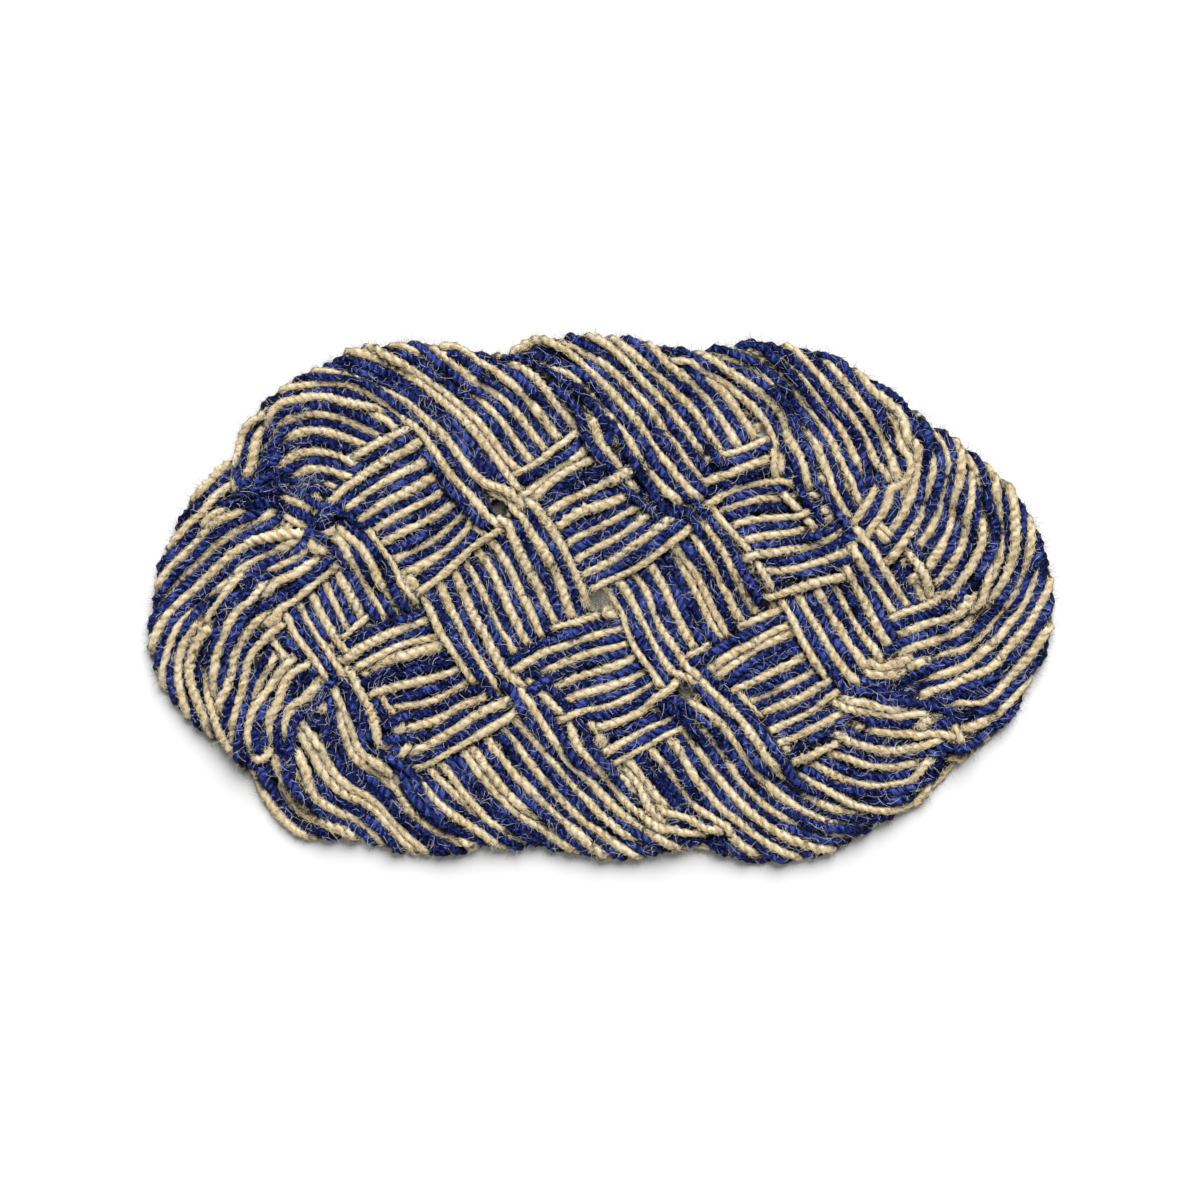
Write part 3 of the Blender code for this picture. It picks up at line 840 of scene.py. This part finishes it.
def coir(name, shades, groove_shade, fleck, deep_shade, sheen):
    """Spun coir: mottled along its plies, painted lighter on their backs as highlight and darker between
    them as shade, with flecks of another fibre and painted shade deep between the yarns.
    """
    material = bpy.data.materials.new(name)
    material.use_nodes = True
    tree = material.node_tree
    tree.nodes.clear()
    strand = add(tree, "UVMap", uv_map="strand")
    place = add(tree, "TexCoord", out="Object")
    along_plies = add(tree, "Mapping", {"Vector": strand, "Scale": PATCHES})
    patches, wander, uneven, specks = (
        add(tree, "TexNoise", {"Vector": where, "Scale": scale, "Detail": detail})
        for where, scale, detail in (
            (along_plies, 1.0, 3.0), (place, SHADE_WANDER, 2.0),
            (place, DIP_BREAKS, 1.0), (place, FLECKS, 1.0),
        )
    )
    both = add(tree, "Math", {0: patches, 1: wander}, operation="ADD")
    mean = add(tree, "Math", {0: both, 1: 0.5}, operation="MULTIPLY")
    # The wave is 1 on the back of a ply and -1 in the dip beside it.
    round_yarn = add(tree, "SeparateXYZ", {"Vector": strand}, out="Y")
    angle = add(tree, "Math", {0: round_yarn, 1: math.tau * PLIES}, operation="MULTIPLY")
    wave = add(tree, "Math", {0: angle}, operation="COSINE")
    # Painted highlight: the back of each ply is made lighter by this much.
    highlighted = add(tree, "Math", {0: wave, 1: PLY_HIGHLIGHT, 2: mean}, operation="MULTIPLY_ADD")
    colour = add(tree, "ValToRGB", {"Fac": highlighted}, stops=shades)
    # Painted shade in the dips between the plies, broken up along the yarn, and the share of flecks.
    dip_shade, broken, fleck_share = (
        add(tree, "MapRange", {
            "Value": value, "From Min": low, "From Max": high, "To Min": at_low, "To Max": at_high,
        })
        for value, low, high, at_low, at_high in (
            (wave, -0.98, -0.6, 1.0, 0.0), (uneven, 0.35, 0.65, 0.0, 0.7), (specks, 0.62, 0.72, 0.0, 1.0),
        )
    )
    dip_shade_share = add(tree, "Math", {0: dip_shade, 1: broken}, operation="MULTIPLY")
    # Painted shade deep between the yarns, a share from 0 to 1 stored on the mesh.
    depth = add(tree, "Attribute", out="Fac", attribute_name="crevice_shade")
    deep_shade_share = add(tree, "Math", {0: depth, 1: DEEP_SHADE_SHARE}, operation="MULTIPLY")
    # Painted shade in the dips, the flecks, then painted shade deep between the yarns are mixed over the
    # tone in turn.
    for share, over in ((dip_shade_share, groove_shade), (fleck_share, fleck), (deep_shade_share, deep_shade)):
        mixing = {"Factor": share, "A": colour, "B": linear(over)}
        colour = add(tree, "Mix", mixing, out="Result", data_type="RGBA")
    bump = add(tree, "Bump", {"Height": patches, "Strength": 0.6, "Distance": 0.0008})
    surface = add(tree, "BsdfPrincipled", {
        "Base Color": colour, "Roughness": 0.85, "IOR": 1.45, "Specular IOR Level": 0.04,
        "Sheen Weight": sheen, "Sheen Roughness": 0.6, "Normal": bump,
    })
    add(tree, "OutputMaterial", {"Surface": surface})
    return material


def plain(name, colour, roughness=0.6):
    """One colour with hardly any gloss, for what is too fine or too even to show a pattern."""
    material = bpy.data.materials.new(name)
    material.use_nodes = True
    surface = material.node_tree.nodes["Principled BSDF"]
    surface.inputs["Base Color"].default_value = linear(colour)
    surface.inputs["Roughness"].default_value = roughness
    surface.inputs["Specular IOR Level"].default_value = 0.1
    return material


# Natural coir gives the eye the warm pale straw of the mat, with browner dips painted as shade between the
# plies to show the twist, and near black painted shade deep between the yarns.
natural_coir = coir(
    "natural_coir", [(0.38, "#ad9267"), (0.45, "#d3be94"), (0.52, "#e3d2af"), (0.62, "#e9dcc1")],
    "#9c8256", "#b89a6a", "#100e13", 0.25,
)
# Dyed coir gives a deep blue, painted almost black as shade in its grooves and between yarns, with a few
# lighter fibres.
navy_coir = coir(
    "navy_dyed_coir", [(0.4, "#02030f"), (0.47, "#080d30"), (0.53, "#17225a"), (0.6, "#43529c")],
    "#01020c", "#5260a4", "#010206", 0.02,
)
print("materials:", [material.name for material in bpy.data.materials])

# %% [markdown]
# ## Yarns as four pieces
# Seventeen yarns of five metres are joined into two natural and two navy pieces. Each is also laid out in
# even rows on a second map, one below the other, so that its finish can be baked as one picture.

# %% Lay up the yarns
TEX_ROW = 660.0
ROW_MARGIN = 0.02
# Length of a whole turn of the plies, and the share of the radius by which a ply stands out.
NATURAL_LAY, NATURAL_SWELL = 15.0, 0.23
NAVY_LAY, NAVY_SWELL = 12.0, 0.19


def yarn_piece(name, yarns, material, lay, swell):
    """Several yarns as one mesh piece."""
    points, faces, strand, along_all = [], [], [], []
    base, before = 0, 0.0
    for yarn in yarns:
        part = slice(yarn_start[yarn], yarn_start[yarn + 1])
        verts, quads, plain_map, wound, length = yarn_mesh(nodes[part], node_radius[part], lay, swell)
        points.append(verts)
        faces.append(quads + base)
        strand.append(wound * (MM, 1.0))
        along_all.append(plain_map + (before, 0.0))
        base, before = base + len(verts), before + length
    run = np.concatenate(along_all)
    row = np.floor(run[..., 0].min(axis=1) / TEX_ROW)
    rows = row.max() + 1
    bake = np.stack([
        (run[..., 0] - row[:, None] * TEX_ROW) / (TEX_ROW + 2 * RING_STEP),
        (row[:, None] + ROW_MARGIN + (1 - 2 * ROW_MARGIN) * run[..., 1]) / rows,
    ], axis=-1)
    piece = mesh_object(
        name, to_frame(np.concatenate(points)), np.concatenate(faces),
        {"OFBake": bake, "strand": np.concatenate(strand)}, material,
    )
    # Each corner's share of the painted shade deep between the yarns, for the material.
    shade = piece.data.attributes.new("crevice_shade", "FLOAT", "POINT")
    shade.data.foreach_set("value", crevice_shade(np.concatenate(points)).astype(np.float32))
    print(name, len(yarns), "yarns,", round(before / 1000, 1), "m,", len(piece.data.polygons), "quads")
    return piece


naturals = [yarn for yarn in range(YARNS) if LEAD_ORDER[yarn] == "n"]
navies = [yarn for yarn in range(YARNS) if LEAD_ORDER[yarn] == "b"]
natural_lay_up = (natural_coir, NATURAL_LAY, NATURAL_SWELL)
navy_lay_up = (navy_coir, NAVY_LAY, NAVY_SWELL)
yarn_pieces = [
    yarn_piece("natural_yarns_1", naturals[0::2], *natural_lay_up),
    yarn_piece("natural_yarns_2", naturals[1::2], *natural_lay_up),
    yarn_piece("navy_yarns_1", navies[0::2], *navy_lay_up),
    yarn_piece("navy_yarns_2", navies[1::2], *navy_lay_up),
]

# %% [markdown]
# ## The cut end
# Where the lead was joined near the left end, one natural yarn comes up between its neighbours, lies on top
# of them for a few centimetres and stops at a cut. It is a short open tube with the same twist.

# %% Cut end of a yarn
CUT_END = [
    (-272, 44.5, 8.0), (-262, 46.5, 12.5), (-252, 48.0, 15.2), (-240, 50.0, 16.2), (-227, 51.5, 15.8),
]
CUT_END_RADIUS = 3.7
CUT_END_SWELL = 0.2
CUT_END_STEP = RING_STEP / 2
CUT_END_CORNERS = 2 * CORNERS
CUT_END_ROUGHNESS = 0.05
# The first and last ring are drawn in to this share, which closes the tube with a flat cut.
DRAWN_IN = 0.1


def cut_end_piece(name, places, radius, lay, swell, material):
    """A short open yarn through the places, closed flat at its ends."""
    places = np.array(places)
    travelled = travel(places)
    stops = np.arange(0, travelled[-1], CUT_END_STEP)
    centre = np.column_stack([np.interp(stops, travelled, column) for column in places.T])
    direction = np.gradient(centre, axis=0)
    count, sides = len(centre), CUT_END_CORNERS
    corner = np.arange(sides) / sides
    ply = np.cos(math.tau * PLIES * (corner[None] + stops[:, None] / lay))
    reach = radius * (1 + swell * ply + rng.normal(0, CUT_END_ROUGHNESS, ply.shape))
    reach[[0, -1]] *= DRAWN_IN
    centre[0], centre[-1] = centre[1], centre[-2]
    points = ring_points(centre, direction, reach).reshape(-1, 3)
    quads = ring_quads(np.arange(1, count), sides)
    number = np.stack(np.meshgrid(np.arange(count - 1), np.arange(sides), indexing="ij"), axis=-1)
    grid = number[:, :, None] + np.array([(0, 0), (0, 1), (1, 1), (1, 0)])[None, None]
    along, turned = CUT_END_STEP * grid[..., 0], grid[..., 1] / sides
    corner_maps = {
        "OFBake": grid.reshape(-1, 4, 2) / (count - 1, sides),
        "strand": np.stack([MM * along, turned + along / lay], axis=-1).reshape(-1, 4, 2),
    }
    piece = mesh_object(name, to_frame(points), quads, corner_maps, material)
    print(name, len(piece.data.polygons) * 2, "triangles")
    return piece


yarn_pieces.append(
    cut_end_piece("natural_cut_end", CUT_END, CUT_END_RADIUS, NATURAL_LAY, CUT_END_SWELL, natural_coir)
)

# %% [markdown]
# ## Loose fibres
# Coir is hairy. Fine ends stand out all over the mat, most of them low over the yarns, and a fringe breaks
# up the outline. Each is a narrow ribbon along a bent line, thinner towards its tip. A real mat has far
# more and finer ones; here the fuzz is made of fewer that are drawn thicker.

# %% Bent fibres on the yarns
# A fibre starts the more rarely the deeper its yarn lies, and rises only so far.
OPEN_DEPTH, MOST_RISE = 5.0, 5.0
LEAST_CHANCE, FULL_CHANCE = 0.01, 1.15
# It comes out of the upper part of the yarn, a little before or after a node.
ROLL_LIMITS = (0.08 * math.pi, 0.92 * math.pi)
SEAT, STAGGER = 0.97, 0.25
# How much its tip comes down again.
DROOP = 0.6


def upper_nodes(count, yarns):
    """Random nodes of the given yarns, mostly ones that lie open on the upper face."""
    depth = np.clip(depth_below_top(nodes) - node_radius, 0, None)
    weight = np.clip(FULL_CHANCE - depth / OPEN_DEPTH, LEAST_CHANCE, 1) * np.isin(node_yarn, yarns)
    return rng.choice(len(nodes), count, p=weight / weight.sum())


def walked(start, headings, length, rises):
    """Lines that go on from their starts, one step for every heading and rise."""
    line = [start]
    for heading, rise in zip(headings, rises):
        run = length / len(headings)
        line.append(line[-1] + np.column_stack([np.cos(heading) * run, np.sin(heading) * run, rise]))
    return np.stack(line, axis=1)


def fibre_lines(count, yarns, points, low, high, lift, lean, curl):
    """Bent fibres that start on the upper yarns."""
    node = upper_nodes(count, yarns)
    along = nodes[node_ahead[node]] - nodes[node_behind[node]]
    heading = np.arctan2(along[:, 1], along[:, 0]) + rng.choice([0, math.pi], count)
    heading += rng.normal(0, lean, count)
    length = rng.uniform(low, high, count)
    bend = rng.normal(0, curl, count)
    roll = rng.uniform(*ROLL_LIMITS, count)
    sideways = np.stack([along[:, 1], -along[:, 0], np.zeros(count)], axis=1)
    sideways /= np.linalg.norm(sideways, axis=1)[:, None]
    start = nodes[node] + SEAT * node_radius[node][:, None] * (
        np.cos(roll)[:, None] * sideways + np.sin(roll)[:, None] * (0, 0, 1.0)
    )
    start += along * rng.uniform(-STAGGER, STAGGER, count)[:, None]
    rise = np.minimum(rng.exponential(lift, count), MOST_RISE)
    share = np.arange(points) / (points - 1)
    headings = [heading + bend * part for part in share[1:]]
    return walked(start, headings, length, [rise * step for step in np.diff(share - DROOP * share**2)])


print("open yarn nodes:", int((depth_below_top(nodes) - node_radius < OPEN_DEPTH).sum()))

# %% Hairs across the gaps
# They start this far outside the gap and end this far round it, in radians.
OUTSIDE = 3.0
SWING = (1.6, 4.6)
HAIR_HEIGHTS = (2.0, 10.0)
HAIR_BOW, HAIR_STRAY = 1.8, 0.6


def opening_hairs(count, points):
    """Hairs that cross the open gaps from rim to rim, some way below the upper face."""
    gap = np.array(OPEN_GAPS)[np.arange(count) % len(OPEN_GAPS)]
    reach = gap[:, 2] + OUTSIDE
    start, swing = rng.uniform(0, math.tau, count), rng.uniform(*SWING, count)
    share = np.linspace(0, 1, points)[None]
    bearing = np.stack([start, start + swing])
    first, last = reach[:, None] * np.stack([np.cos(bearing), np.sin(bearing)], axis=-1)
    bow = rng.normal(0, HAIR_BOW, count)[:, None] * np.sin(math.pi * share)
    lines = np.zeros((count, points, 3))
    lines[..., :2] = (gap[:, :2] + first)[:, None] + (last - first)[:, None] * share[..., None]
    lines[..., :2] += bow[..., None] * (1, -1)
    lines[..., 2] = rng.uniform(*HAIR_HEIGHTS, count)[:, None] + rng.normal(0, HAIR_STRAY, (count, points))
    return lines


print("gaps crossed by hairs:", len(OPEN_GAPS))

# %% Hairs round the rim
# The rim is the farthest node in each of so many wedges, and those within this depth of it.
RIM_WEDGES = 720
RIM_DEPTH = 2.5
RIM_HAIR_LENGTHS = (6, 13)
# How far they lean from straight outward, bend on, and stray up or down.
RIM_LEAN, RIM_CURL, RIM_STRAY = 0.8, 1.2, 0.7


def rim_hairs(count, points):
    """Fine hairs that stand out from the rim all round."""
    bearing = np.arctan2(nodes[:, 1], nodes[:, 0])
    wedge = np.floor((bearing + math.pi) / math.tau * RIM_WEDGES).astype(int) % RIM_WEDGES
    far = np.hypot(nodes[:, 0], nodes[:, 1])
    farthest = np.zeros(RIM_WEDGES)
    np.maximum.at(farthest, wedge, far)
    outer = np.flatnonzero(far > farthest[wedge] - RIM_DEPTH)
    node = rng.choice(outer, count)
    out = np.arctan2(nodes[node, 1], nodes[node, 0]) + rng.normal(0, RIM_LEAN, count)
    length, bend = rng.uniform(*RIM_HAIR_LENGTHS, count), rng.normal(0, RIM_CURL, count)
    steps = range(1, points)
    headings = [out + bend * step / points for step in steps]
    return walked(nodes[node], headings, length, [rng.normal(0, RIM_STRAY, count) for _ in steps])


print("wedges of the rim:", RIM_WEDGES)

# %% Ribbons and the fibre pieces
# Fibres stay between these heights, and their widths vary a little.
LOWEST, HIGHEST = 0.3, 20.0
WIDTH_SPREAD, WIDTH_LIMITS = 0.04, (0.1, 0.5)
TIP_SHARE = 0.5


def ribbons(lines, width):
    """Narrow ribbons along the lines, each closed to a point at its tip."""
    count, points, _ = lines.shape
    along = np.gradient(lines, axis=1)
    flat = np.stack([-along[..., 1], along[..., 0], np.zeros((count, points))], axis=-1)
    flat /= np.maximum(np.linalg.norm(flat, axis=-1), 1e-6)[..., None]
    thin = np.linspace(1.0, TIP_SHARE, points)[None, :, None]
    half = 0.5 * width[:, None, None] * thin
    pairs = np.stack([lines - flat * half, lines + flat * half], axis=2)[:, :-1].reshape(count, -1, 3)
    corners = np.concatenate([pairs, lines[:, -1:]], axis=1)
    size = corners.shape[1]
    base = np.arange(count)[:, None] * size
    start = base + np.arange(points - 2)[None] * 2
    lower = np.stack([start, start + 1, start + 3], axis=-1)
    upper = np.stack([start, start + 3, start + 2], axis=-1)
    tip = np.stack([base + size - 3, base + size - 2, base + size - 1], axis=-1)
    triangles = np.concatenate([lower, upper, tip], axis=1).reshape(-1, 3)
    return corners.reshape(-1, 3), triangles


def fibre_piece(name, lines, width, material):
    """All the fibres of one kind as a joined mesh."""
    lines[..., 2] = np.clip(lines[..., 2], LOWEST, HIGHEST)
    points, triangles = ribbons(lines, rng.normal(width, WIDTH_SPREAD, len(lines)).clip(*WIDTH_LIMITS))
    piece = mesh_object(name, to_frame(points), triangles, {}, material)
    print(name, len(lines), "fibres,", len(triangles), "triangles")
    return piece


# Pale hairs catch the light as thin bright lines over both colours of yarn.
pale_fibre = plain("pale_coir_fibre", "#e6e4dc")
# Straw and navy fuzz soften the yarns and blur the edge between two of them.
straw_fibre = plain("straw_coir_fibre", "#e0cca4")
navy_fibre = plain("navy_coir_fibre", "#2c3a86")
# Hairs at the rim and in the gaps are grey-brown: partly dust, partly painted shade for where they lie.
dust_and_shade_fibre = plain("dust_and_shade_coir_fibre", "#77705f")
everyone = list(range(YARNS))
straw_fuzz = dict(points=3, low=2, high=4.2, lift=0.7, lean=0.36, curl=0.4)
navy_fuzz = dict(points=3, low=2.5, high=5, lift=0.8, lean=0.7, curl=0.5)
long_hairs = dict(points=5, low=4, high=15, lift=2.6, lean=1.1, curl=1.4)
fibre_pieces = [
    fibre_piece("rim_hairs", rim_hairs(2600, 5), 0.16, dust_and_shade_fibre),
    fibre_piece("opening_hairs", opening_hairs(260, 6), 0.3, dust_and_shade_fibre),
    fibre_piece("pale_fibres", fibre_lines(9500, everyone, **long_hairs), 0.14, pale_fibre),
    fibre_piece("straw_fuzz", fibre_lines(58000, naturals, **straw_fuzz), 0.32, straw_fibre),
    fibre_piece("navy_fuzz", fibre_lines(34000, navies, **navy_fuzz), 0.26, navy_fibre),
]

# %% [markdown]
# ## The studio
# The mat lies on a wide white floor that curves up into a low cove, so that its edge can't be seen. One
# broad light from behind the top edge, soft as a big window, shades the lower rim, and a weak white
# surround lifts the shadows. The camera looks straight down from well above through a long lens.

# %% The floor and its cove
# Radius and height of the rings, in metres.
COVE = [(5.0, 0.0), (5.6, 0.04), (6.1, 0.17), (6.5, 0.4), (6.7, 0.7), (6.75, 1.1)]
COVE_SIDES = 96

bearings = np.arange(COVE_SIDES) * 2 * math.pi / COVE_SIDES
rings = [
    (radius * math.cos(angle), radius * math.sin(angle), height)
    for radius, height in COVE for angle in bearings
]
panels = [tuple(range(COVE_SIDES))]
for row in range(len(COVE) - 1):
    for side in range(COVE_SIDES):
        here, there = row * COVE_SIDES + side, row * COVE_SIDES + (side + 1) % COVE_SIDES
        panels.append((here, here + COVE_SIDES, there + COVE_SIDES, there))
floor_mesh = bpy.data.meshes.new("floor")
floor_mesh.from_pydata(rings, [], panels)
for panel in floor_mesh.polygons:
    panel.use_smooth = True
# A matt white gives the eye a plain pale ground that takes the soft shade.
floor_mesh.materials.append(plain("white_studio_floor", "#ececec", 0.9))
floor = stood("floor", floor_mesh)
print("floor with", len(panels), "panels")

# %% Light
# The window is 0.85 radians wide as seen from the mat.
WINDOW_SIZE, WINDOW_STRENGTH = 0.85, 5.0
TOWARD_WINDOW = Vector((0.2, 1.0, 0.86))
WINDOW_DISTANCE = 2.5
SURROUND_STRENGTH = 0.24

surround = bpy.data.worlds.new("pale_surround")
surround.use_nodes = True
background = surround.node_tree.nodes["Background"]
background.inputs["Color"].default_value = (1, 1, 1, 1)
background.inputs["Strength"].default_value = SURROUND_STRENGTH
bpy.context.scene.world = surround
window = bpy.data.lights.new("soft_window", "SUN")
window.angle, window.energy = WINDOW_SIZE, WINDOW_STRENGTH
lamp = stood("soft_window", window)
lamp.location = WINDOW_DISTANCE * TOWARD_WINDOW.normalized()
lamp.rotation_euler = TOWARD_WINDOW.to_track_quat("Z", "Y").to_euler()
print("the window stands", round(math.degrees(math.asin(TOWARD_WINDOW.normalized().z))), "degrees high")

# %% Camera
# The view is 0.921 m wide at the middle height of the mat, whose middle lies a little off its centre.
VIEW_WIDTH, MAT_MIDDLE = 0.921, 0.009
LENS, SENSOR = 120.0, 36.0
ASIDE = (-0.0014, 0.0037)

camera_data = bpy.data.cameras.new("camera")
camera_data.lens, camera_data.sensor_width = LENS, SENSOR
camera = stood("camera", camera_data)
camera.location = (*ASIDE, MAT_MIDDLE + VIEW_WIDTH * LENS / SENSOR)
bpy.context.scene.camera = camera
bpy.context.scene.view_settings.view_transform = "Standard"
print("camera", round(camera.location.z, 2), "m above the floor")

# %% Tie the pieces to the frame and finish
for piece in yarn_pieces + fibre_pieces:
    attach(piece, "root")
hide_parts("plaited_mat")
